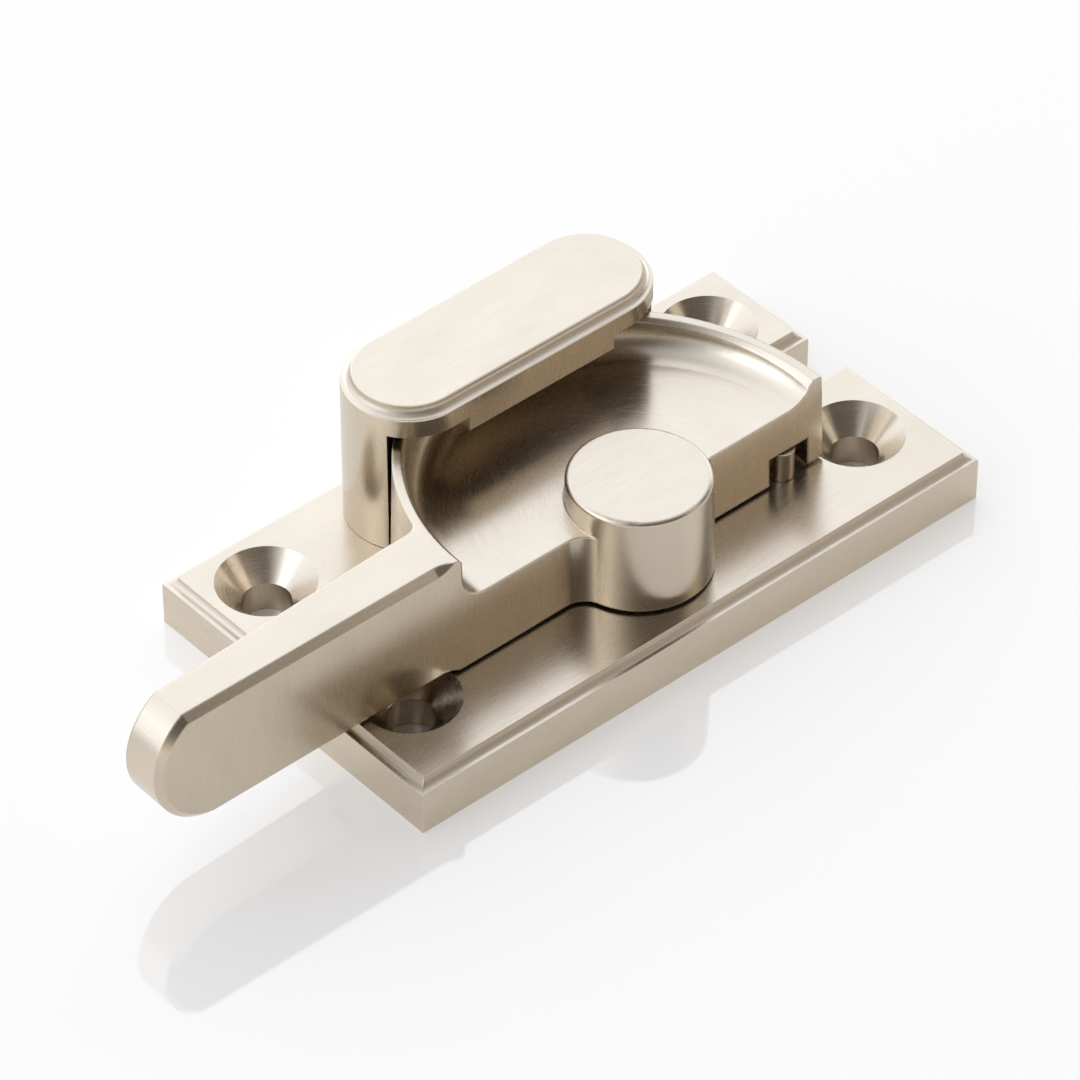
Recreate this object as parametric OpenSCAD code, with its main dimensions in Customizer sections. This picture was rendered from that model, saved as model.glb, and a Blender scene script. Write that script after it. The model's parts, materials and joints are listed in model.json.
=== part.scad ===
// Cam sash fastener: a base plate with a turning cam lever, and a keeper plate with its hook.
// The origin is the lever's pivot axis at the underside of the plates. +X runs along the
// plates, away from the lever bar, +Y runs towards the keeper and +Z is up.

/* [Plates] */
// Length of the base plate and of the keeper plate
plate_l = 70; // [64:0.5:90]
// Thickness of both plates
plate_t = 5.7; // [5.2:0.1:8]
// Distance from the pivot to the base plate's front edge
plate_front = 9.9; // [8.5:0.1:14]
// Distance from the pivot to the base plate's back edge
plate_back = 8.6; // [8:0.1:12]
// Gap between the two plates
plate_gap = 5.4; // [1:0.1:6]
// Width of the keeper plate
keeper_w = 13.9; // [13:0.1:20]

/* [Plate moulding] */
// Height of the flat lip round each plate
lip_h = 4.8; // [3.5:0.05:4.8]
// Width of the flat lip
lip_w = 0.42; // [0.2:0.01:1]
// Radius of the cove between the lip and the top
cove_r = 0.8; // [0.3:0.05:0.85]

/* [Fixing holes] */
// Distance between the two fixing screws of a plate
screw_spacing = 56; // [50:0.5:58]
// Diameter of a fixing hole
screw_d = 4.8; // [3.5:0.1:5.5]
// Diameter of the countersink at the plate's top
sink_d = 9.8; // [7:0.1:10.5]
// Angle of the countersink
sink_angle = 90; // [80:1:100]

/* [Cam] */
// Outer radius of the cam at its top
cam_r = 22.95; // [21:0.05:24]
// Extra radius at the underside, from the casting draft
draft = 0.3; // [0:0.05:0.5]
// Lean of the front wall, in degrees
front_lean = 2.3; // [0:0.1:3]
// Gap between the plates and the underside of the cam
run_gap = 0.35; // [0.2:0.05:1]
// Thickness of the cam below the dish
floor_t = 7.75; // [6:0.05:9]
// Width of the rim at its crest
rim_w = 1.25; // [0.8:0.05:2]
// Radius of the cove between the dish floor and the rim
rim_cove_r = 2.7; // [1:0.1:3]
// Height of the sloping crest above the dish floor, at the pivot axis
crest_h = 3.55; // [3:0.05:4]
// Slope of the crest, in degrees
crest_tilt = 5.3; // [3:0.1:6]
// Direction in which the crest rises
crest_turn = 140; // [120:1:160]
// Bevel on the inner edge of the crest
crest_bevel = 0.4; // [0.1:0.05:0.6]

/* [Hub] */
// Radius of the hub at its top
hub_r = 6.95; // [6:0.05:8]
// Height of the hub
hub_h = 10.55; // [10:0.05:13]
// Rounding of the hub's top edge
hub_round = 0.45; // [0.1:0.05:1]
// Fillet between the hub and the cam's front wall
web_r = 2.5; // [1:0.1:4]

/* [Lever bar] */
// Distance from the pivot to the lever's tip
lever_reach = 57.35; // [50:0.05:80]
// Height of the lever bar
lever_h = 12.95; // [12:0.05:15]
// Thickness of the bar at the cam
root_t = 5.9; // [5:0.1:8]
// Thickness of the bar at its tip
tip_t = 4.4; // [3.5:0.1:6]
// Radius of the rounded tip
tip_r = 6.95; // [6.6:0.05:9]
// How much the underside cuts off the tip's circle
tip_flat = 0.1; // [0.05:0.05:0.5]
// Bevel along the bar's front edge
front_bevel = 0.7; // [0.2:0.05:1]
// Radius that the bevel's run-out follows at the cam
runout_r = 2.4; // [1:0.1:4]
// Where the bevel starts to run out, measured from the cam's outer wall towards the tip
runout_x = 1.5; // [0.5:0.1:6]
// Fillet between the back of the bar and the cam
root_fillet = 1.2; // [0.5:0.1:2]

/* [Stop] */
// Diameter of the stop peg
peg_d = 2.4; // [1.8:0.05:2.8]
// Distance of the peg's centre in from the cam's outer edge, along the plate
peg_inset = 4.25; // [3.5:0.05:5]
// Height of the peg above the plate
peg_h = 3.35; // [2:0.05:4.5]
// Depth of the peg's seat in the plate
peg_seat = 3; // [2:0.1:4]
// Distance of the peg's centre behind the cam's front wall
peg_y = 0.35; // [0.2:0.05:0.8]
// Room in the notch on the pivot's side of the peg
notch_inner = 1.2; // [0.6:0.05:2]
// Room in the notch on the outer side of the peg
notch_outer = 1.35; // [0.6:0.05:1.9]
// Clearance between the peg and the back of the notch, with the lever closed
notch_clear = 0.1; // [0.05:0.01:0.3]
// Clearance above the peg
peg_top_clear = 0.2; // [0.1:0.05:0.5]

/* [Hook] */
// Length of the hook over its round ends
hook_l = 34.9; // [30:0.1:40]
// Width of the hook
hook_w = 12.8; // [11:0.1:14]
// Distance of the hook's middle line from the pivot
hook_y = 20.05; // [19.5:0.05:22]
// Thickness of the cap
cap_t = 3.1; // [2.5:0.1:5]
// Gap between the lever's top and the cap
cap_clear = 0.8; // [0.3:0.05:1.5]
// Radius of the cove round the cap's top
cap_cove_r = 0.85; // [0.3:0.05:1.2]
// Width of the lip below that cove
cap_lip_w = 0.17; // [0.1:0.01:0.5]
// Length of the rib under the cap
rib_l = 18.1; // [10:0.1:22]
// How far the rib hangs below the cap
rib_drop = 1.6; // [1:0.1:2.5]
// Clearance between the rib and the inner wall of the rim
rib_clear = 0.4; // [0.3:0.05:1]
// Clearance between the cam and the post
slot_clear = 0.2; // [0.15:0.05:1]

/* [Pivot] */
// Diameter of the pivot pin
pin_d = 6; // [5:0.1:7]
// Running clearance of the pin, on the radius
pin_clear = 0.04; // [0.02:0.01:0.08]
// Depth of the pin in the hub
pin_depth = 8; // [5:0.1:9]
// Clearance of pressed and screwed parts in their holes, on the radius
press_clear = 0.02; // [0.01:0.01:0.05]
// Radius of the thrust face that the hub turns on
thrust_r = 5.2; // [4.5:0.1:6]
// Clearance above the thrust face
thrust_gap = 0.05; // [0.02:0.01:0.1]
// Diameter of the recess under the base plate
recess_d = 12.6; // [12:0.1:15]
// Depth of that recess
recess_h = 3.2; // [3:0.1:3.6]
// Outer diameter of the spring washer
spring_d = 10.4; // [9:0.1:11.5]
// Height of the spring washer
spring_h = 0.85; // [0.6:0.05:1]
// Thickness of the spring washer's metal
spring_t = 0.4; // [0.2:0.05:0.5]
// Clearance of the spring washer on the pin, on the radius
spring_clear = 0.25; // [0.1:0.05:0.5]
// Diameter of the retaining washer
washer_d = 10; // [9:0.1:11.5]
// Thickness of the retaining washer
washer_t = 0.8; // [0.5:0.1:1]

/* [Machine screws] */
// Thread diameter of the screws
thread_d = 3; // [2.5:0.1:3.5]
// Head diameter of the pivot screw
head_d = 5.6; // [5:0.1:7]
// Head height of the pivot screw
head_h = 1.2; // [0.8:0.1:1.4]
// Length of the pivot screw in the pin
pivot_screw_l = 5.5; // [4:0.1:7]
// Head diameter of the hook's countersunk screws
csk_d = 5.8; // [5:0.1:6.5]
// Length of the hook's screws inside the hook
hook_screw_l = 8; // [5:0.1:10]
// Depth of a tapped hole past the end of its screw
tap_past = 1; // [0.3:0.1:2]
// Width of the screwdriver slots
slot_w = 0.8; // [0.6:0.1:1]
// Depth of the screwdriver slots
slot_h = 0.6; // [0.4:0.1:0.8]

/* [Hidden] */
$fn = 96;

// a cutter reaches this far past the face that it opens
over = 1;
// large enough to reach past every piece
far = 2 * (lever_reach + plate_l);

satin_nickel = [0.80, 0.77, 0.72];
plain_steel = [0.62, 0.62, 0.62];

// the plates
keeper_y0 = plate_back + plate_gap;
keeper_yc = keeper_y0 + keeper_w / 2;

// the cam lever's levels
cam_z = plate_t + run_gap;
floor_z = cam_z + floor_t;
lever_z = cam_z + lever_h;
crest_z = floor_z + crest_h;
rim_r = cam_r - rim_w;
tip_x = lever_reach - tip_r;
tip_z = cam_z + tip_r - tip_flat;
taper = atan((root_t - tip_t) / (lever_reach - cam_r));

// how far the leaning front wall stands out at a height z
function front_y(z) = (lever_z - z) * tan(front_lean);

// the stop
peg_r = peg_d / 2;
peg_x = cam_r - peg_inset;
peg_top = plate_t + peg_h;
notch_z = peg_top + peg_top_clear;
notch_y = peg_y + peg_r + notch_clear;

// the hook
cap_z = lever_z + cap_clear;
hook_r = hook_w / 2;
hook_x = hook_l / 2 - hook_r;
slot_r = cam_r + draft + slot_clear;
rib_r = rim_r - rib_clear;
post_turn = atan2(hook_y, hook_x);
post_screw_r = (slot_r + norm([hook_x, hook_y]) + hook_r) / 2;

// the pivot stack, from the recess down
pin_r = pin_d / 2;
pin_z = recess_h - spring_h;
washer_z = pin_z - washer_t;
head_z = washer_z - head_h;
thread_r = thread_d / 2;
csk_depth = csk_d / 2 - thread_r;

// Cross-section of a plate: a flat top, a cove and a flat lip at each side
module plate_section(w) {
    difference() {
        translate([-w / 2, 0])
            square([w, plate_t]);
        for (side = [0, 1])
            mirror([side, 0])
                translate([w / 2 - lip_w, lip_h]) {
                    square([lip_w + over, plate_t]);
                    translate([-cove_r, cove_r])
                        square([cove_r + over, plate_t]);
                    translate([0, cove_r])
                        circle(cove_r);
                }
    }
}

// A plate with the moulding mitred round all four sides
module moulded_plate(w) {
    intersection() {
        rotate([90, 0, 90])
            linear_extrude(plate_l, center = true)
                plate_section(w);
        rotate([90, 0, 0])
            linear_extrude(w, center = true)
                plate_section(plate_l);
    }
}

// The two countersunk fixing holes of a plate
module fixing_holes() {
    sink_h = (sink_d - screw_d) / 2 / tan(sink_angle / 2);
    for (side = [-1, 1])
        translate([side * screw_spacing / 2, 0, 0]) {
            translate([0, 0, -over])
                cylinder(d = screw_d, h = plate_t + 2 * over);
            translate([0, 0, plate_t - sink_h])
                cylinder(d1 = screw_d, d2 = sink_d, h = sink_h);
            translate([0, 0, plate_t])
                cylinder(d = sink_d, h = over);
        }
}

module base_plate() {
    bore_r = pin_r + pin_clear;
    color(satin_nickel)
        difference() {
            union() {
                translate([0, (plate_back - plate_front) / 2, 0])
                    moulded_plate(plate_front + plate_back);
                cylinder(r = thrust_r, h = cam_z - thrust_gap);
            }
            fixing_holes();
            translate([0, 0, -over])
                cylinder(r = bore_r, h = cam_z + over);
            translate([0, 0, -over])
                cylinder(d = recess_d, h = recess_h + over);
            translate([peg_x, peg_y, plate_t - peg_seat])
                cylinder(r = peg_r + press_clear, h = peg_seat + over);
        }
}

module stop_peg() {
    color(satin_nickel)
        translate([peg_x, peg_y, plate_t - peg_seat])
            cylinder(r = peg_r, h = peg_seat + peg_h);
}

// Where the hook's two screws stand; side is -1 for the left one and 1 for the right one
module at_hook_screw(side) {
    translate([side * post_screw_r * cos(post_turn), post_screw_r * sin(post_turn), 0])
        children();
}

module keeper_plate() {
    color(satin_nickel)
        difference() {
            translate([0, keeper_yc, 0]) {
                difference() {
                    moulded_plate(keeper_w);
                    fixing_holes();
                }
            }
            for (side = [-1, 1])
                at_hook_screw(side) {
                    translate([0, 0, -over])
                        cylinder(r = thread_r + press_clear, h = plate_t + 2 * over);
                    translate([0, 0, -over])
                        cylinder(r1 = csk_d / 2 + over + press_clear, r2 = thread_r + press_clear,
                                 h = csk_depth + over);
                }
        }
}

// The hook's outline: a bar with round ends
module hook_outline() {
    translate([-hook_x, -hook_r])
        square([2 * hook_x, hook_w]);
    for (side = [-1, 1])
        translate([side * hook_x, 0])
            circle(hook_r);
}

// Half the cap's cross-section: an upright wall, a narrow lip and a cove up to the flat top
module cap_section() {
    cove_x = hook_r - cap_lip_w;
    cove_z = cap_t - cap_lip_w;
    difference() {
        square([hook_r, cap_t]);
        translate([cove_x, cove_z])
            circle(cap_cove_r);
        translate([cove_x, cove_z - cap_cove_r])
            square([hook_r, cap_t]);
        translate([cove_x - cap_cove_r, cove_z])
            square([hook_r, cap_t]);
    }
}

module hook_cap() {
    for (side = [-1, 1])
        translate([side * hook_x, 0, 0])
            rotate_extrude()
                cap_section();
    rotate([90, 0, 90])
        linear_extrude(2 * hook_x, center = true)
            for (side = [0, 1])
                mirror([side, 0])
                    cap_section();
}

// The rib that hangs inside the cam's rim
module hook_rib() {
    intersection() {
        translate([-rib_l / 2, hook_y - hook_r, cap_z - rib_drop])
            cube([rib_l, hook_w, rib_drop + cap_t / 4]);
        translate([0, 0, cap_z - rib_drop - over])
            cylinder(r = rib_r, h = rib_drop + cap_t);
    }
}

module keeper_hook() {
    color(satin_nickel)
        difference() {
            union() {
                difference() {
                    translate([0, hook_y, plate_t])
                        linear_extrude(cap_z - plate_t)
                            hook_outline();
                    translate([0, 0, plate_t - over])
                        cylinder(r = slot_r, h = cap_z - plate_t + over);
                }
                translate([0, hook_y, cap_z])
                    hook_cap();
                hook_rib();
            }
            for (side = [-1, 1])
                at_hook_screw(side)
                    translate([0, 0, plate_t - over])
                        cylinder(r = thread_r + press_clear, h = hook_screw_l + tap_past + over);
        }
}

// A countersunk screw, head down, with its head flush with the plate's underside
module hook_screw(side) {
    color(plain_steel)
        at_hook_screw(side)
            difference() {
                union() {
                    cylinder(r1 = csk_d / 2, r2 = thread_r, h = csk_depth);
                    cylinder(r = thread_r, h = plate_t + hook_screw_l);
                }
                translate([-csk_d, -slot_w / 2, -over])
                    cube([2 * csk_d, slot_w, slot_h + over]);
            }
}

module hook_screw_left() {
    hook_screw(-1);
}

module hook_screw_right() {
    hook_screw(1);
}

// The bevel on the inner edge of the crest, with the crest at z = 0
module crest_edge() {
    rotate_extrude()
        polygon([[rim_r - over, -crest_bevel - over], [rim_r + crest_bevel + over, over],
                 [rim_r - over, over]]);
}

// The cam without its front wall or dish, with its crest sloping up towards the lever
module cam_disc() {
    difference() {
        rotate_extrude()
            polygon([[0, cam_z], [cam_r + draft, cam_z], [cam_r, lever_z], [0, lever_z]]);
        translate([-far / 2, -far - 2 * over, 0])
            cube([far, far, far]);
        translate([0, 0, crest_z])
            rotate([0, 0, crest_turn])
                rotate([0, -crest_tilt, 0]) {
                    translate([-far / 2, -far / 2, 0])
                        cube([far, far, far]);
                    crest_edge();
                }
    }
}

// The dish: flat floor, a cove and an upright inner wall
module dish() {
    dish_h = lever_z - floor_z + over;
    translate([0, 0, floor_z])
        rotate_extrude() {
            square([rim_r - rim_cove_r, dish_h]);
            translate([0, rim_cove_r])
                square([rim_r, dish_h]);
            translate([rim_r - rim_cove_r, rim_cove_r])
                circle(rim_cove_r);
        }
    translate([0, 0, lever_z])
        crest_edge();
}

module hub() {
    top_z = cam_z + hub_h;
    rotate_extrude() {
        polygon([[0, cam_z], [hub_r + draft, cam_z], [hub_r, top_z - hub_round],
                 [hub_r - hub_round, top_z - hub_round], [hub_r - hub_round, top_z], [0, top_z]]);
        intersection() {
            translate([hub_r - hub_round, top_z - hub_round])
                circle(hub_round);
            square([hub_r, top_z]);
        }
    }
}

// The fillet in the corner between the hub and the front wall follows the lean of both
module web_fillet() {
    seam = press_clear;
    top_reach = hub_r + draft * (hub_h - floor_t) / hub_h + web_r - seam;
    foot_reach = hub_r + draft + web_r - seam;
    top_y = -front_y(floor_z) - web_r + seam;
    foot_y = -front_y(cam_z) - web_r + seam;
    top_x = sqrt(pow(top_reach, 2) - pow(top_y, 2));
    foot_x = sqrt(pow(foot_reach, 2) - pow(foot_y, 2));
    touch = 1 - web_r / top_reach;
    intersection() {
        translate([0, 0, cam_z])
            cylinder(r = cam_r, h = floor_t);
        translate([top_x, top_y, floor_z])
            rotate([-atan((top_y - foot_y) / floor_t), -atan((foot_x - top_x) / floor_t), 0])
                translate([-top_x, -top_y, -2 * floor_t])
                    linear_extrude(3 * floor_t)
                        difference() {
                            polygon([[top_x, top_y], [top_x, over], [0, over],
                                     [top_x * touch - over, top_y * touch],
                                     [top_x * touch, top_y * touch]]);
                            translate([top_x, top_y])
                                circle(web_r);
                        }
    }
}

// The fillet in the corner between the back of the bar and the cam
module back_fillet() {
    centre_y = root_t + root_fillet;
    centre_x = sqrt(pow(cam_r + root_fillet, 2) - pow(centre_y, 2));
    touch = cam_r / (cam_r + root_fillet);
    translate([0, 0, cam_z])
        linear_extrude(lever_h)
            difference() {
                polygon([[-centre_x, centre_y], [-centre_x, root_t - over / 4],
                         [-centre_x * touch + over, root_t - over / 4],
                         [-centre_x * touch + over, centre_y * touch],
                         [-centre_x * touch, centre_y * touch]]);
                translate([-centre_x, centre_y])
                    circle(root_fillet);
            }
}

// The bevel along a level front edge at z = 0, run out at its end as a cone cutter leaves it
module edge_bevel() {
    mirror([1, 0, 0])
        rotate([90, 0, 90])
            linear_extrude(far)
                polygon([[-over, -front_bevel - over], [front_bevel + over, over], [-over, over]]);
    translate([0, -runout_r, -front_bevel])
        cylinder(r1 = runout_r, r2 = runout_r + front_bevel + over, h = front_bevel + over);
}

// The bevel round the tip, centred on the tip's axis and left of it
module tip_bevel() {
    difference() {
        translate([-2 * tip_r, -over, -2 * tip_r])
            cube([2 * tip_r, front_bevel + over, 4 * tip_r]);
        rotate([-90, 0, 0])
            translate([0, 0, -over])
                cylinder(r1 = tip_r - front_bevel - over, r2 = tip_r + over, h = front_bevel + 2 * over);
    }
}

// All that lies in front of the leaning front wall, with the bevels of the lever bar
module front_cutter() {
    bevel_end = -cam_r - runout_x;
    translate([0, 0, lever_z])
        rotate([-front_lean, 0, 0]) {
            translate([-far / 2, -far, -far / 2])
                cube([far, far, far]);
            translate([bevel_end, 0, 0])
                edge_bevel();
            translate([bevel_end, 0, -lever_h])
                mirror([0, 0, 1])
                    edge_bevel();
            translate([-tip_x, 0, tip_z - lever_z])
                tip_bevel();
        }
}

// The lever bar: upright, tapering towards a round tip
module lever_bar() {
    difference() {
        union() {
            translate([-tip_x, -2 * over, cam_z - over])
                cube([tip_x - rim_r + rim_cove_r, root_t + 2 * over, lever_h + 2 * over]);
            translate([-tip_x, -2 * over, tip_z])
                rotate([-90, 0, 0])
                    cylinder(r = tip_r, h = root_t + 2 * over);
        }
        // the flat top and the flat underside
        translate([-far, -far / 2, lever_z])
            cube([far, far, far]);
        translate([-far, -far / 2, cam_z - far])
            cube([far, far, far]);
        // the taper of the back face
        translate([-cam_r, root_t, 0])
            rotate([0, 0, taper])
                translate([-far, 0, 0])
                    cube([far, far, far]);
    }
}

module cam_lever() {
    color(satin_nickel)
        difference() {
            union() {
                difference() {
                    union() {
                        cam_disc();
                        lever_bar();
                        back_fillet();
                    }
                    dish();
                    front_cutter();
                }
                hub();
                for (side = [0, 1])
                    mirror([side, 0, 0])
                        web_fillet();
            }
            // the pin's bore
            translate([0, 0, cam_z - over])
                cylinder(r = pin_r + press_clear, h = pin_depth + over);
            // the notch for the stop peg
            translate([peg_x - peg_r - notch_inner, -far, cam_z - over])
                cube([notch_inner + peg_d + notch_outer, far + notch_y, notch_z - cam_z + over]);
        }
}

module pivot_pin() {
    color(plain_steel)
        difference() {
            translate([0, 0, pin_z])
                cylinder(r = pin_r, h = cam_z + pin_depth - pin_z);
            translate([0, 0, pin_z - over])
                cylinder(r = thread_r + press_clear, h = pivot_screw_l + tap_past + over);
        }
}

// A dished washer: its outer edge bears on the recess, its inner edge on the flat washer
module spring_washer() {
    inner_r = pin_r + spring_clear;
    color(plain_steel)
        translate([0, 0, pin_z])
            rotate_extrude()
                polygon([[inner_r, press_clear], [inner_r, spring_t],
                         [spring_d / 2, spring_h - press_clear],
                         [spring_d / 2, spring_h - spring_t]]);
}

module retaining_washer() {
    color(plain_steel)
        translate([0, 0, washer_z])
            difference() {
                cylinder(d = washer_d, h = washer_t);
                translate([0, 0, -over])
                    cylinder(r = thread_r + press_clear, h = washer_t + 2 * over);
            }
}

module pivot_screw() {
    color(plain_steel)
        difference() {
            union() {
                translate([0, 0, head_z])
                    cylinder(d = head_d, h = head_h);
                translate([0, 0, head_z])
                    cylinder(r = thread_r, h = head_h + washer_t + pivot_screw_l);
            }
            translate([-head_d, -slot_w / 2, head_z - over])
                cube([2 * head_d, slot_w, slot_h + over]);
        }
}

base_plate();
stop_peg();
spring_washer();
keeper_plate();
keeper_hook();
hook_screw_left();
hook_screw_right();
cam_lever();
pivot_pin();
retaining_washer();
pivot_screw();
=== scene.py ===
"""A satin nickel sash fastener, photographed on a white gloss floor under soft studio lamps.

The camera, the floor and the lamps come first, then the plates' moulding and the edges, then the
finishes, and last each node gets its own. Lengths are in metres, in the frame of the CAD part,
apart from the places in the finishes, which are in millimetres.
"""

import json
import math

import bmesh
import bpy
from mathutils import Matrix, Vector

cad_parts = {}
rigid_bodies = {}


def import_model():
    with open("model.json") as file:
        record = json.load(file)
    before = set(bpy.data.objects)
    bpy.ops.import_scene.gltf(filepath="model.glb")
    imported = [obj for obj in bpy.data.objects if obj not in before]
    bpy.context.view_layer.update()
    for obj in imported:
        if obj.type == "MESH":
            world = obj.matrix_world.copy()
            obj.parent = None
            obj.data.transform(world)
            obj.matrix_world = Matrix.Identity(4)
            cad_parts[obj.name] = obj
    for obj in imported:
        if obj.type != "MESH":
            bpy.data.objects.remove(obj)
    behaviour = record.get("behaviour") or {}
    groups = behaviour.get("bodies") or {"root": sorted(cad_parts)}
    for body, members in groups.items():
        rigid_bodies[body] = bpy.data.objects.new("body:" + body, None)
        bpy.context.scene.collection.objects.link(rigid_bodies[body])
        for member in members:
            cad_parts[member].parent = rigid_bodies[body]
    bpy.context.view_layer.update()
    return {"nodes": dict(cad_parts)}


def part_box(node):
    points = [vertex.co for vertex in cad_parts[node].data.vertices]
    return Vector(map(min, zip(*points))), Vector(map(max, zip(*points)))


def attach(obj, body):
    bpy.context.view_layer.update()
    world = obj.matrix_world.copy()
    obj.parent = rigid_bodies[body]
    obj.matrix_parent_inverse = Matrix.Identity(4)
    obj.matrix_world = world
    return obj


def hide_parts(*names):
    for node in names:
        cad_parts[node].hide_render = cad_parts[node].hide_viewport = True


MM = 0.001

for thing in list(bpy.data.objects):
    bpy.data.objects.remove(thing, do_unlink=True)

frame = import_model()
nodes = frame["nodes"]


# camera

PHOTO_RIGHT = Vector((0.7531, -0.6579, 0.0))
PHOTO_FORWARD = Vector((0.4889, 0.5596, -0.6691))
CAMERA_AT = Vector((-292.81, -321.14, 399.72)) * MM
LENS_MM = 208.09
SENSOR_MM = 36.0
SEEN_FROM = 0.01
SEEN_TO = 20.0


def set_up_camera():
    """The photograph's view: a long lens that looks down at 42 degrees."""
    right = PHOTO_RIGHT.normalized()
    back = -PHOTO_FORWARD.normalized()
    up = back.cross(right).normalized()
    right = up.cross(back)
    turn = Matrix((right, up, back)).transposed()
    data = bpy.data.cameras.new("photo_camera")
    data.sensor_fit = "HORIZONTAL"
    data.sensor_width = SENSOR_MM
    data.lens = LENS_MM
    data.clip_start = SEEN_FROM
    data.clip_end = SEEN_TO
    camera = bpy.data.objects.new("photo_camera", data)
    camera.matrix_world = Matrix.Translation(CAMERA_AT) @ turn.to_4x4()
    bpy.context.scene.collection.objects.link(camera)
    bpy.context.scene.camera = camera


# node helpers

# a Mix node has a set of sockets for each kind of value: its two inputs, and its output
MIX_SOCKETS = {"FLOAT": (2, 3, 0), "VECTOR": (4, 5, 1), "RGBA": (6, 7, 2)}


def new_material(name):
    """An empty material and its node tree."""
    material = bpy.data.materials.new(name)
    material.use_nodes = True
    material.node_tree.nodes.clear()
    return material, material.node_tree


def add(tree, kind, at=(0, 0), **settings):
    """A shader node, with its settings and the values of its inputs."""
    node = tree.nodes.new(kind)
    node.location = at
    inputs = settings.pop("inputs", {})
    for name, value in settings.items():
        setattr(node, name, value)
    for name, value in inputs.items():
        node.inputs[name].default_value = value
    return node


def join(tree, source, output, target, socket):
    """Links an output to an input."""
    tree.links.new(source.outputs[output], target.inputs[socket])


def feed(tree, value, socket):
    """Gives an input an output socket or a plain value."""
    if isinstance(value, bpy.types.NodeSocket):
        tree.links.new(value, socket)
    else:
        socket.default_value = value


def vector_math(tree, operation, at, first, second=None, scale=None):
    """A vector sum; the inputs are output sockets or plain numbers."""
    node = add(tree, "ShaderNodeVectorMath", at, operation=operation)
    for socket, value in zip(node.inputs, (first, second)):
        if value is not None:
            feed(tree, value, socket)
    if scale is not None:
        node.inputs["Scale"].default_value = scale
    return node


def math_node(tree, operation, at, *values, clamp=False):
    """The result of a sum; the inputs are output sockets or plain numbers."""
    node = add(tree, "ShaderNodeMath", at, operation=operation, use_clamp=clamp)
    for socket, value in zip(node.inputs, values):
        feed(tree, value, socket)
    return node.outputs["Value"]


def choose(tree, kind, at, mask, low, high):
    """low where the mask is 0 and high where it is 1."""
    node = add(tree, "ShaderNodeMix", at, data_type=kind)
    first, second, result = MIX_SOCKETS[kind]
    feed(tree, mask, node.inputs[0])
    feed(tree, low, node.inputs[first])
    feed(tree, high, node.inputs[second])
    return node.outputs[result]


# floor

# from the middle of the floor to its edges
FLOOR_REACH = 3.0
FLOOR_WHITE = (0.96, 0.915, 0.87, 1.0)
FLOOR_MIRROR_TINT = (0.86, 0.81, 0.73, 1.0)
FLOOR_MIRROR_ROUGHNESS = 0.05
# how much the floor mirrors, and how much of its own white the camera and the metal see
FLOOR_MIRROR = 0.24
FLOOR_GLOW = 0.42
PLAIN_WHITE = (1.0, 1.0, 1.0, 1.0)
# under the plates the floor has no white of its own, this far in from their edges
PLATE_SHADE_IN = 0.5 * MM


def inside_plate(tree, x, y, node, at):
    """A mask that is 1 on the floor under a plate."""
    low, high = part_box(node)
    mask = None
    for axis, value in enumerate((x, y)):
        middle = (low[axis] + high[axis]) / 2
        reach = (high[axis] - low[axis]) / 2 - PLATE_SHADE_IN
        off = math_node(tree, "SUBTRACT", at, value, middle)
        off = math_node(tree, "ABSOLUTE", at, off)
        near = math_node(tree, "LESS_THAN", at, off, reach)
        mask = near if mask is None else math_node(tree, "MULTIPLY", at, mask, near)
    return mask


def white_gloss_acrylic():
    """White gloss sheet: a white body, a faint mirror, and white for the background."""
    material, tree = new_material("white_gloss_acrylic")
    body = add(tree, "ShaderNodeBsdfDiffuse", (0, 0), inputs={"Color": FLOOR_WHITE})
    gloss = add(tree, "ShaderNodeBsdfAnisotropic", (0, 200), inputs={
        "Color": FLOOR_MIRROR_TINT, "Roughness": FLOOR_MIRROR_ROUGHNESS})
    sheet = add(tree, "ShaderNodeMixShader", (200, 150))
    sheet.inputs[0].default_value = FLOOR_MIRROR
    glow = add(tree, "ShaderNodeEmission", (0, -300), inputs={"Color": PLAIN_WHITE})
    ray = add(tree, "ShaderNodeLightPath", (-600, -300))
    seen = add(tree, "ShaderNodeMath", (-400, -300), operation="MAXIMUM")
    where = add(tree, "ShaderNodeTexCoord", (-1200, -600))
    axes = add(tree, "ShaderNodeSeparateXYZ", (-1000, -600))
    join(tree, where, "Object", axes, "Vector")
    shaded = [inside_plate(tree, axes.outputs["X"], axes.outputs["Y"], node, (-800, -600))
              for node in ("base_plate", "keeper_plate")]
    under = math_node(tree, "MAXIMUM", (-600, -600), *shaded)
    level = math_node(tree, "MULTIPLY_ADD", (-400, -600), under, -FLOOR_GLOW, FLOOR_GLOW)
    share = math_node(tree, "MULTIPLY", (-200, -300), seen.outputs["Value"], level)
    both = add(tree, "ShaderNodeMixShader", (300, 0))
    out = add(tree, "ShaderNodeOutputMaterial", (500, 0))
    join(tree, ray, "Is Camera Ray", seen, 0)
    join(tree, ray, "Is Glossy Ray", seen, 1)
    tree.links.new(share, both.inputs[0])
    join(tree, body, "BSDF", sheet, 1)
    join(tree, gloss, "BSDF", sheet, 2)
    join(tree, sheet, "Shader", both, 1)
    join(tree, glow, "Emission", both, 2)
    join(tree, both, "Shader", out, "Surface")
    return material


def white_floor():
    """A sheet of white gloss acrylic, which mirrors the part."""
    mesh = bpy.data.meshes.new("floor")
    shape = bmesh.new()
    bmesh.ops.create_grid(shape, x_segments=1, y_segments=1, size=FLOOR_REACH)
    shape.to_mesh(mesh)
    shape.free()
    floor = bpy.data.objects.new("floor", mesh)
    bpy.context.scene.collection.objects.link(floor)
    mesh.materials.append(white_gloss_acrylic())


# lamps and room

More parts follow.
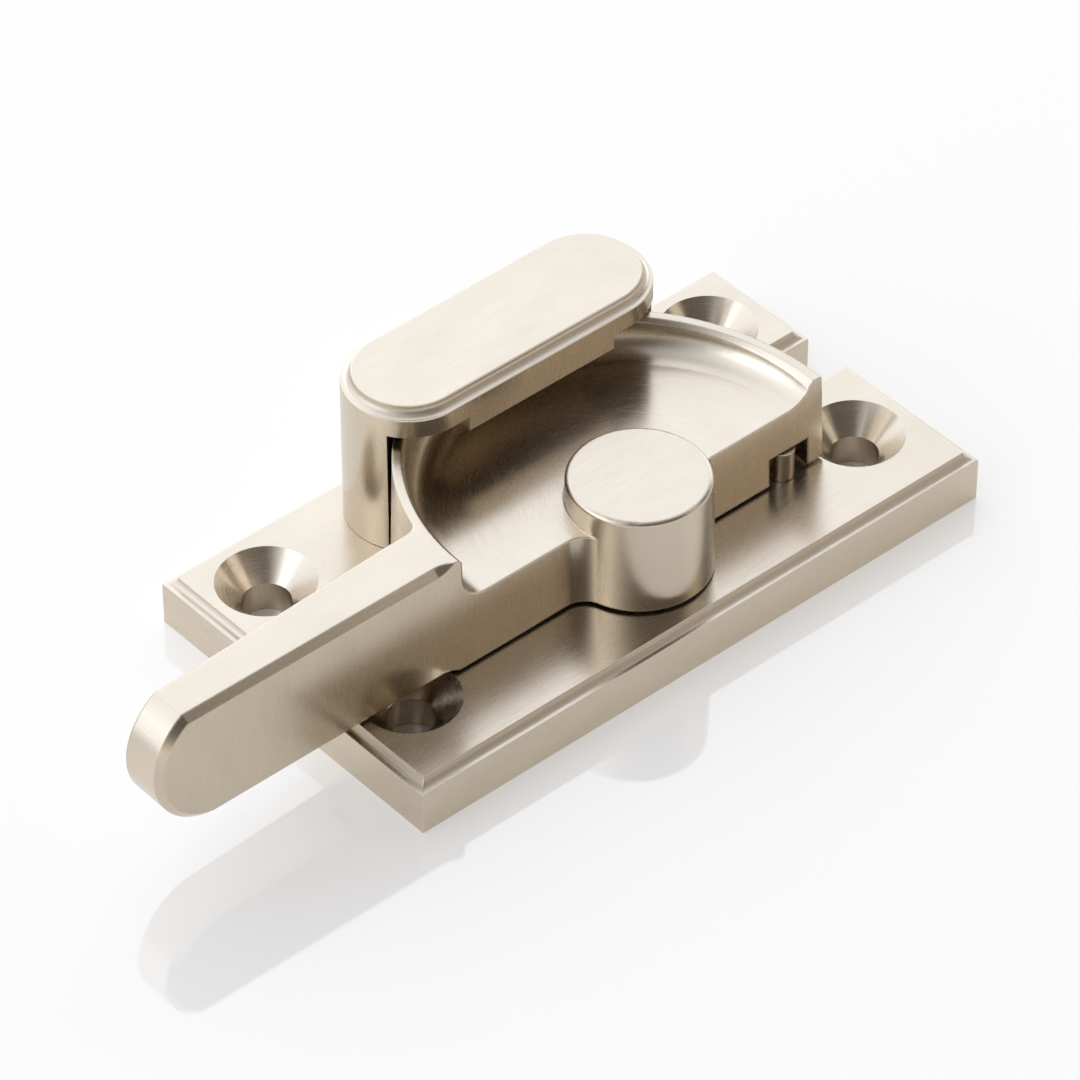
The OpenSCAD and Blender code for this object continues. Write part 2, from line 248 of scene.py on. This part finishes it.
LAMP_DISTANCE = 1.3
COOL_WHITE = (0.935, 1.0, 1.11)
WARM_WHITE = (1.08, 1.0, 0.88)
# name, azimuth from +X towards +Y and elevation in degrees, size in metres, brightness, tint
SOFT_BOXES = (
    ("right_soft_box", 16, 20, (0.60, 0.60), 1.1, COOL_WHITE),
    ("back_soft_box", 74, 20, (0.65, 0.60), 1.0, COOL_WHITE),
    ("left_soft_box", 168, 26, (0.80, 0.80), 0.8, COOL_WHITE),
    ("high_soft_box", 346, 56, (0.50, 0.50), 0.45, COOL_WHITE),
    ("front_soft_box", 318, 34, (0.50, 0.55), 0.8, WARM_WHITE),
)
# the bright side of the room is behind the part, and the front fades into it over this range
BRIGHT_SIDE = (-0.31, 0.95, 0.0)
FRONT_ENDS = -0.40
REAR_STARTS = 0.40
# the room's levels, as shares of ROOM_LEVEL, from the horizon at 0 to overhead at 1
ROOM_LEVEL = 1.75
FRONT_LEVELS = ((0.0, 0.60), (0.15, 0.38), (0.32, 0.05), (0.80, 0.06), (1.0, 0.24))
REAR_LEVELS = ((0.0, 0.68), (0.30, 0.92), (0.70, 0.92), (0.92, 0.80), (1.0, 0.40))


def soft_box(name, azimuth, elevation, size, radiance, tint):
    """A soft box that looks at the part; its power follows from its size and its brightness."""
    data = bpy.data.lights.new(name, "AREA")
    data.shape = "RECTANGLE"
    data.size = size[0]
    data.size_y = size[1]
    data.energy = radiance * math.pi * size[0] * size[1]
    data.color = tint
    lamp = bpy.data.objects.new(name, data)
    round_by = math.radians(azimuth)
    up_by = math.radians(elevation)
    place = LAMP_DISTANCE * Vector((math.cos(up_by) * math.cos(round_by),
                                    math.cos(up_by) * math.sin(round_by), math.sin(up_by)))
    look = (-place).to_track_quat("-Z", "Y")
    lamp.matrix_world = Matrix.Translation(place) @ look.to_matrix().to_4x4()
    bpy.context.scene.collection.objects.link(lamp)


def room_profile(tree, at, levels, tint):
    """The room's brightness from the horizon to straight overhead."""
    ramp = add(tree, "ShaderNodeValToRGB", at)
    ramp.color_ramp.interpolation = "B_SPLINE"
    points = ramp.color_ramp.elements
    while len(points) < len(levels):
        points.new(0.5)
    for point, (height, level) in zip(points, levels):
        point.position = height
        point.color = (*(level * part for part in tint), 1.0)
    return ramp


def studio_room():
    """A plain pale room: bright behind the part, and dark in front above a light horizon."""
    world = bpy.data.worlds.new("studio_room")
    bpy.context.scene.world = world
    world.use_nodes = True
    tree = world.node_tree
    tree.nodes.clear()
    where = add(tree, "ShaderNodeTexCoord", (-900, 0))
    toward = add(tree, "ShaderNodeVectorMath", (-700, 200), operation="DOT_PRODUCT")
    toward.inputs[1].default_value = BRIGHT_SIDE
    join(tree, where, "Generated", toward, 0)
    side = add(tree, "ShaderNodeMapRange", (-500, 200), interpolation_type="SMOOTHSTEP", inputs={
        "From Min": FRONT_ENDS, "From Max": REAR_STARTS})
    join(tree, toward, "Value", side, "Value")
    axes = add(tree, "ShaderNodeSeparateXYZ", (-700, -100))
    join(tree, where, "Generated", axes, "Vector")
    front = room_profile(tree, (-500, -100), FRONT_LEVELS, WARM_WHITE)
    rear = room_profile(tree, (-500, -350), REAR_LEVELS, COOL_WHITE)
    join(tree, axes, "Z", front, "Fac")
    join(tree, axes, "Z", rear, "Fac")
    both = choose(tree, "RGBA", (-200, 0), side.outputs["Result"],
                  front.outputs["Color"], rear.outputs["Color"])
    back = add(tree, "ShaderNodeBackground", (50, 0), inputs={"Strength": ROOM_LEVEL})
    tree.links.new(both, back.inputs["Color"])
    out = add(tree, "ShaderNodeOutputWorld", (250, 0))
    join(tree, back, "Background", out, "Surface")


# moulding

# a CAD mesh is loose triangles: points this close are one, and faces this flat are one
WELD_WITHIN = 0.002 * MM
FLAT_WITHIN = math.radians(0.4)
PLATE_TOP = 5.7 * MM
LIP_HEIGHT = 4.8 * MM
# the CAD plate's cove lies within the first of these of the sides, and the finished plate's
# cove starts the second in from them
CAD_COVE_IN = 1.25 * MM
COVE_IN = 1.08 * MM
COVE_RADIUS = 0.94 * MM


def finished_plate(name):
    """A plate whose cove meets its lip at an angle, in place of the CAD plate.

    The cove is upright at the plate's top and curves outwards, by hollow at each drop below it.
    """
    low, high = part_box(name)
    mesh = nodes[name].data.copy()
    shape = bmesh.new()
    shape.from_mesh(mesh)
    bmesh.ops.remove_doubles(shape, verts=shape.verts, dist=WELD_WITHIN)
    for point in shape.verts:
        drop = PLATE_TOP - point.co.z
        if drop < -WELD_WITHIN or point.co.z < LIP_HEIGHT + WELD_WITHIN:
            continue
        share = min(max(drop / COVE_RADIUS, 0.0), 1.0)
        hollow = COVE_RADIUS * (1.0 - math.sqrt(1.0 - share * share))
        for axis in (0, 1):
            middle = (low[axis] + high[axis]) / 2
            reach = (high[axis] - low[axis]) / 2
            off = point.co[axis] - middle
            if reach - abs(off) < CAD_COVE_IN:
                point.co[axis] = middle + math.copysign(reach - COVE_IN + hollow, off)
    shape.to_mesh(mesh)
    shape.free()
    plate = bpy.data.objects.new("finished_" + name, mesh)
    bpy.context.scene.collection.objects.link(plate)
    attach(plate, "fastener")
    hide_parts(name)
    return plate


# edges

# edges that bend more than this are rounded, and shading breaks over the second
SQUARE_BEND = math.radians(50)
SHARP_BEND = math.radians(35)
EDGE_SEGMENTS = 2
# how much the large faces set the shading: 50 is even, and 100 the most
LARGE_FACES_LEAD = 100
EDGE_RADII = {
    "base_plate": 0.12 * MM,
    "keeper_plate": 0.12 * MM,
    "keeper_hook": 0.14 * MM,
    "stop_peg": 0.15 * MM,
}


def smooth_faces():
    """A modifier group that shades every face smooth, except over sharp edges."""
    group = bpy.data.node_groups.new("smooth_faces", "GeometryNodeTree")
    group.is_modifier = True
    group.interface.new_socket("Geometry", in_out="INPUT", socket_type="NodeSocketGeometry")
    group.interface.new_socket("Geometry", in_out="OUTPUT", socket_type="NodeSocketGeometry")
    start = add(group, "NodeGroupInput", (-600, 0))
    end = add(group, "NodeGroupOutput", (600, 0))
    faces = add(group, "GeometryNodeSetShadeSmooth", (-300, 0), domain="FACE")
    edges = add(group, "GeometryNodeSetShadeSmooth", (200, 0), domain="EDGE")
    bend = add(group, "GeometryNodeInputMeshEdgeAngle", (-500, -200))
    shallow = add(group, "FunctionNodeCompare", (-200, -200), data_type="FLOAT",
                  operation="LESS_THAN")
    shallow.inputs["B"].default_value = SHARP_BEND
    join(group, start, "Geometry", faces, "Geometry")
    join(group, faces, "Geometry", edges, "Geometry")
    join(group, bend, "Unsigned Angle", shallow, "A")
    join(group, shallow, "Result", edges, "Shade Smooth")
    join(group, edges, "Geometry", end, "Geometry")
    return group


def soften_edges(piece, radius, smoothing):
    """Rounds a piece's square edges a little, as tumbling and brushing leave them."""
    weld = piece.modifiers.new("weld", "WELD")
    weld.merge_threshold = WELD_WITHIN
    flats = piece.modifiers.new("flats", "DECIMATE")
    flats.decimate_type = "DISSOLVE"
    flats.angle_limit = FLAT_WITHIN
    edges = piece.modifiers.new("edges", "BEVEL")
    edges.width = radius
    edges.segments = EDGE_SEGMENTS
    edges.limit_method = "ANGLE"
    edges.angle_limit = SQUARE_BEND
    edges.use_clamp_overlap = False
    smooth = piece.modifiers.new("smooth", "NODES")
    smooth.node_group = smoothing
    normals = piece.modifiers.new("normals", "WEIGHTED_NORMAL")
    normals.keep_sharp = True
    normals.weight = LARGE_FACES_LEAD


# finishes

NICKEL = (0.66, 0.575, 0.465)
STEEL = (0.56, 0.56, 0.57)
SATIN_ROUGHNESS = 0.24
PEG_ROUGHNESS = 0.28
STEEL_ROUGHNESS = 0.30
# the tone of the darker patches, and how far the roughness goes below and above those values
DARKER_PATCH = 0.94
SMOOTHER_BY = 0.03
ROUGHER_BY = 0.05
# a noise texture stays mostly between these two
NOISE_LOW = 0.3
NOISE_HIGH = 0.7
# noise that is stretched along the brush: cycles per millimetre along, across and in depth,
# then its detail and the roughness of that detail
FINE_LINES = ((0.35, 6.0, 6.0), 3.0, 0.7)
BROAD_LINES = ((0.10, 1.1, 1.1), 2.0, 0.6)
TONE_PATCHES = ((0.10, 0.22, 0.22), 2.0, 0.6)
BROAD_SHARE = 0.35
LINE_DEPTH = 0.006 * MM
LINE_STRENGTH = 0.10
# a face is a side or a flat top by how upright its normal is
SIDE_BELOW = 0.55
FLAT_ABOVE = 0.75
# how far reflections are drawn out across the brush lines
DRAWN_OUT = 0.6
# the casting's edges are rounded in their shading alone, this far
CAST_EDGE = 0.28 * MM
EDGE_SAMPLES = 6
# how much rougher a cove is that the brush didn't reach
MATT_MORE = 0.20
# on a round brushing, the lines are as long as they are at this share of its radius
LINES_AT = 0.7
HOLE_X = 28.0
KEEPER_HOLE_Y = 20.95
SINK_RADIUS = 5.0
UNDER_PLATE_TOP = 5.69

# round brushings, in millimetres: inside the radius of the centre and below the top, the brush
# went round; fold mirrors X, so that one centre serves a plate's two countersinks; the cam's dish
# is brushed round the pivot, but not within its hub or in front of its own front
BASE_SINKS = {"centre": (HOLE_X, 0.0), "fold": True, "radius": SINK_RADIUS,
              "top": UNDER_PLATE_TOP}
KEEPER_SINKS = {"centre": (HOLE_X, KEEPER_HOLE_Y), "fold": True, "radius": SINK_RADIUS,
                "top": UNDER_PLATE_TOP}
CAM_DISH = {"centre": (0.0, 0.0), "fold": False, "radius": 22.9, "top": 18.99,
            "hub": 7.3, "front": 0.02}
# the heights between which the coves lie, in millimetres
PLATE_COVE = (4.81, 5.60)
CAP_COVE = (22.0, 22.80)


def brush_lines():
    """Fine lines left by the brush, and the slow change in tone that goes with them.

    Along, Across and Depth are places in millimetres in the brush's own directions.
    """
    group = bpy.data.node_groups.new("brush_lines", "ShaderNodeTree")
    face = group.interface
    for name in ("Along", "Across", "Depth"):
        face.new_socket(name, in_out="INPUT", socket_type="NodeSocketFloat")
    for name in ("Height", "Grain", "Patches"):
        face.new_socket(name, in_out="OUTPUT", socket_type="NodeSocketFloat")
    start = add(group, "NodeGroupInput", (-1200, 0))
    end = add(group, "NodeGroupOutput", (600, 0))

    def noise(at, scales, detail, roughness):
        """Noise stretched along the brush."""
        spot = add(group, "ShaderNodeCombineXYZ", (at[0] - 200, at[1]))
        for socket, axis, scale in zip("XYZ", ("Along", "Across", "Depth"), scales):
            stretch = add(group, "ShaderNodeMath", (at[0] - 400, at[1]), operation="MULTIPLY")
            stretch.inputs[1].default_value = scale
            join(group, start, axis, stretch, 0)
            join(group, stretch, "Value", spot, socket)
        texture = add(group, "ShaderNodeTexNoise", at, inputs={
            "Scale": 1.0, "Detail": detail, "Roughness": roughness})
        join(group, spot, "Vector", texture, "Vector")
        return texture.outputs[0]

    fine = noise((-400, 300), *FINE_LINES)
    broad = noise((-400, 0), *BROAD_LINES)
    patches = noise((-400, -300), *TONE_PATCHES)
    height = choose(group, "FLOAT", (0, 300), BROAD_SHARE, fine, broad)
    feed(group, height, end.inputs["Height"])
    feed(group, fine, end.inputs["Grain"])
    feed(group, patches, end.inputs["Patches"])
    return group


def plain_brush(tree, where, millimetres, axes, upright_sides):
    """Brushing along X on flat tops, and up and down or along on sides.

    It gives the places along, across and in depth, and the way that reflections are drawn out.
    """
    x, y, z = axes
    facing = add(tree, "ShaderNodeSeparateXYZ", (-2000, -400))
    join(tree, where, "Normal", facing, "Vector")
    up = math_node(tree, "ABSOLUTE", (-1800, -400), facing.outputs["Z"])
    flat = add(tree, "ShaderNodeMapRange", (-1600, -400), inputs={
        "From Min": SIDE_BELOW, "From Max": FLAT_ABOVE})
    tree.links.new(up, flat.inputs["Value"])
    flat = flat.outputs["Result"]
    sideways = vector_math(tree, "CROSS_PRODUCT", (-1800, -700), (0.0, 0.0, 1.0),
                           where.outputs["Normal"]).outputs["Vector"]
    round_side = vector_math(tree, "DOT_PRODUCT", (-1400, -700), sideways,
                             millimetres).outputs["Value"]
    if upright_sides:
        side_along, side_across, side_pull = z, round_side, sideways
    else:
        side_along, side_across, side_pull = round_side, z, (0.0, 0.0, 1.0)
    along = choose(tree, "FLOAT", (-1100, 200), flat, side_along, x)
    across = choose(tree, "FLOAT", (-1100, 0), flat, side_across, y)
    depth = choose(tree, "FLOAT", (-1100, -200), flat, 0.0, z)
    pull = choose(tree, "VECTOR", (-1100, -600), flat, side_pull, (0.0, 1.0, 0.0))
    return along, across, depth, pull


def round_brush(tree, axes, area, along, across, pull):
    """The brushing with an area where the brush went round, and that area's mask."""
    x, y, z = axes
    folded = math_node(tree, "ABSOLUTE", (-1800, 600), x) if area["fold"] else x
    from_x = math_node(tree, "SUBTRACT", (-1600, 600), folded, area["centre"][0])
    from_y = math_node(tree, "SUBTRACT", (-1600, 450), y, area["centre"][1])
    ray = add(tree, "ShaderNodeCombineXYZ", (-1400, 600))
    tree.links.new(from_x, ray.inputs["X"])
    tree.links.new(from_y, ray.inputs["Y"])
    outward = ray.outputs["Vector"]
    reach = vector_math(tree, "LENGTH", (-1200, 600), outward).outputs["Value"]
    angle = math_node(tree, "ARCTAN2", (-1200, 450), from_y, from_x)
    arc = math_node(tree, "MULTIPLY", (-1000, 450), angle, area["radius"] * LINES_AT)
    inside = math_node(tree, "LESS_THAN", (-1000, 700), reach, area["radius"])
    below = math_node(tree, "LESS_THAN", (-1000, 850), z, area["top"])
    turned = math_node(tree, "MULTIPLY", (-800, 700), inside, below)
    if "hub" in area:
        off_hub = math_node(tree, "GREATER_THAN", (-1000, 1000), reach, area["hub"])
        turned = math_node(tree, "MULTIPLY", (-700, 850), turned, off_hub)
        behind = math_node(tree, "GREATER_THAN", (-1000, 1150), y, area["front"])
        turned = math_node(tree, "MULTIPLY", (-600, 850), turned, behind)
    along = choose(tree, "FLOAT", (-800, 200), turned, along, arc)
    across = choose(tree, "FLOAT", (-800, 0), turned, across, reach)
    if area["fold"]:
        sign = math_node(tree, "SIGN", (-1400, 800), x)
        mirrored = add(tree, "ShaderNodeCombineXYZ", (-1000, 1300))
        tree.links.new(math_node(tree, "MULTIPLY", (-1200, 1300), sign, from_x),
                       mirrored.inputs["X"])
        tree.links.new(from_y, mirrored.inputs["Y"])
        outward = mirrored.outputs["Vector"]
    pull = choose(tree, "VECTOR", (-800, -600), turned, pull, outward)
    return along, across, pull, turned


def cove_mask(tree, z, heights, turned):
    """A mask that is 1 in a cove, between two heights and outside the round brushings."""
    over = math_node(tree, "GREATER_THAN", (-1000, 1500), z, heights[0])
    under = math_node(tree, "LESS_THAN", (-1000, 1650), z, heights[1])
    mask = math_node(tree, "MULTIPLY", (-800, 1500), over, under)
    if turned:
        mask = math_node(tree, "SUBTRACT", (-600, 1500), mask, turned, clamp=True)
    return mask


def brushed_metal(name, colour, roughness, lines, round_area=None, upright_sides=True,
                  soft_edge=0.0, cove=None):
    """Satin metal: fine brushed lines, a faint change of tone, and matt coves.

    round_area is a place where the brush went round, cove the heights that a cove lies between,
    and soft_edge the rounding in the shading of edges that no modifier rounds.
    """
    material, tree = new_material(name)
    where = add(tree, "ShaderNodeTexCoord", (-2400, 0))
    millimetres = vector_math(tree, "SCALE", (-2200, 0), where.outputs["Object"],
                              scale=1 / MM).outputs["Vector"]
    place = add(tree, "ShaderNodeSeparateXYZ", (-2000, 0))
    tree.links.new(millimetres, place.inputs["Vector"])
    axes = [place.outputs[axis] for axis in "XYZ"]
    along, across, depth, pull = plain_brush(tree, where, millimetres, axes, upright_sides)
    turned = None
    if round_area:
        along, across, pull, turned = round_brush(tree, axes, round_area, along, across, pull)

    brush = add(tree, "ShaderNodeGroup", (-500, 200))
    brush.node_tree = lines
    for socket, value in (("Along", along), ("Across", across), ("Depth", depth)):
        tree.links.new(value, brush.inputs[socket])
    bump = add(tree, "ShaderNodeBump", (-250, -200), inputs={
        "Strength": LINE_STRENGTH, "Distance": LINE_DEPTH})
    join(tree, brush, "Height", bump, "Height")
    if soft_edge:
        rounded = add(tree, "ShaderNodeBevel", (-450, -300), samples=EDGE_SAMPLES, inputs={
            "Radius": soft_edge})
        join(tree, rounded, "Normal", bump, "Normal")
    dull = add(tree, "ShaderNodeMapRange", (-250, 100), inputs={
        "From Min": NOISE_LOW, "From Max": NOISE_HIGH,
        "To Min": roughness - SMOOTHER_BY, "To Max": roughness + ROUGHER_BY})
    join(tree, brush, "Grain", dull, "Value")
    rough = dull.outputs["Result"]
    if cove:
        matt = cove_mask(tree, axes[2], cove, turned)
        rough = math_node(tree, "MULTIPLY_ADD", (-100, 100), matt, MATT_MORE, rough)
    tone = add(tree, "ShaderNodeMapRange", (-450, 500), inputs={
        "From Min": NOISE_LOW, "From Max": NOISE_HIGH})
    join(tree, brush, "Patches", tone, "Value")
    darker = (*(part * DARKER_PATCH for part in colour), 1.0)
    base = choose(tree, "RGBA", (-250, 400), tone.outputs["Result"], darker, (*colour, 1.0))
    turn = add(tree, "ShaderNodeVectorTransform", (-450, -600), vector_type="VECTOR",
               convert_from="OBJECT", convert_to="WORLD")
    tree.links.new(pull, turn.inputs["Vector"])

    shader = add(tree, "ShaderNodeBsdfPrincipled", (0, 0), inputs={
        "Metallic": 1.0, "Anisotropic": DRAWN_OUT})
    tree.links.new(base, shader.inputs["Base Color"])
    tree.links.new(rough, shader.inputs["Roughness"])
    join(tree, bump, "Normal", shader, "Normal")
    join(tree, turn, "Vector", shader, "Tangent")
    out = add(tree, "ShaderNodeOutputMaterial", (300, 0))
    join(tree, shader, "BSDF", out, "Surface")
    return material


# the scene

set_up_camera()
white_floor()
for box in SOFT_BOXES:
    soft_box(*box)
studio_room()

lines = brush_lines()
finishes = {
    "base_plate": brushed_metal("satin_nickel_base_plate", NICKEL, SATIN_ROUGHNESS, lines,
                                BASE_SINKS, upright_sides=False, cove=PLATE_COVE),
    "keeper_plate": brushed_metal("satin_nickel_keeper_plate", NICKEL, SATIN_ROUGHNESS, lines,
                                  KEEPER_SINKS, upright_sides=False, cove=PLATE_COVE),
    "keeper_hook": brushed_metal("satin_nickel_keeper_hook", NICKEL, SATIN_ROUGHNESS, lines,
                                 cove=CAP_COVE),
    "cam_lever": brushed_metal("satin_nickel_cam_lever", NICKEL, SATIN_ROUGHNESS, lines,
                               CAM_DISH, soft_edge=CAST_EDGE),
    "stop_peg": brushed_metal("satin_nickel_stop_peg", NICKEL, PEG_ROUGHNESS, lines),
}
steel = brushed_metal("turned_steel", STEEL, STEEL_ROUGHNESS, lines)
for name, node in nodes.items():
    node.material_slots[0].material = finishes.get(name, steel)

smoothing = smooth_faces()
for name, radius in EDGE_RADII.items():
    piece = nodes[name]
    if name in ("base_plate", "keeper_plate"):
        piece = finished_plate(name)
    soften_edges(piece, radius, smoothing)

scene = bpy.context.scene
scene.view_settings.view_transform = "Standard"
